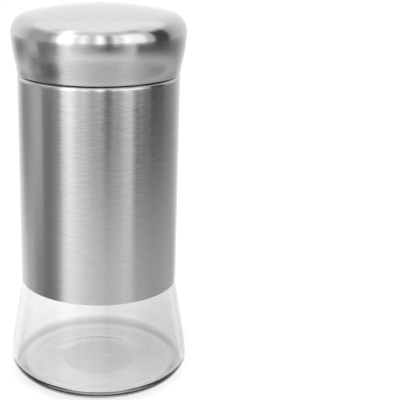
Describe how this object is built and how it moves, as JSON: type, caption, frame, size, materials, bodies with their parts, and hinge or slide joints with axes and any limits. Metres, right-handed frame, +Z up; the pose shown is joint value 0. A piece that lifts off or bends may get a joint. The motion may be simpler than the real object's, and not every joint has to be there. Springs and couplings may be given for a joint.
{
  "type": "spice shaker",
  "caption": "Round glass spice shaker with a brushed steel sleeve, a perforated plastic sifter in its threaded neck and a domed steel screw lid.",
  "frame": {"origin": "centre of the ring the jar stands on, at the bottom of the object", "axes": "+Z up along the axis that jar, sleeve, sifter and lid share"},
  "size_m": [0.0636, 0.0636, 0.1309],
  "materials": {
    "clear_glass": "clear, fire polished",
    "sleeve_steel": "brushed round the tube",
    "lid_steel": "brushed round the axis",
    "sifter_plastic": "natural, translucent, satin",
    "liner_plastic": "white, moulded",
    "seal_foam": "white polyethylene foam",
    "clear_glue": "set hot-melt adhesive"
  },
  "bodies": {
    "jar": {"glass_jar": "clear_glass", "body_sleeve": "sleeve_steel", "lower_glue_band": "clear_glue", "upper_glue_band": "clear_glue", "shaker_insert": "sifter_plastic"},
    "seal": {"lid_seal": "seal_foam"},
    "lid": {"lid_shell": "lid_steel", "lid_liner": "liner_plastic", "lid_glue_ring": "clear_glue"}
  },
  "joints": [
    {"name": "lid_rise", "type": "slide", "parent": "jar", "child": "seal", "axis": [0, 0, 1], "range_m": [0, 0.0298]},
    {"name": "lid_turn", "type": "hinge", "parent": "seal", "child": "lid", "pos_m": [0, 0, 0.1259], "axis": [0, 0, 1], "range_deg": [0, 2520]}
  ],
  "couplings": [
    {"joint": "lid_rise", "follows": "lid_turn", "m_per_rad": 0.00067375}
  ]
}
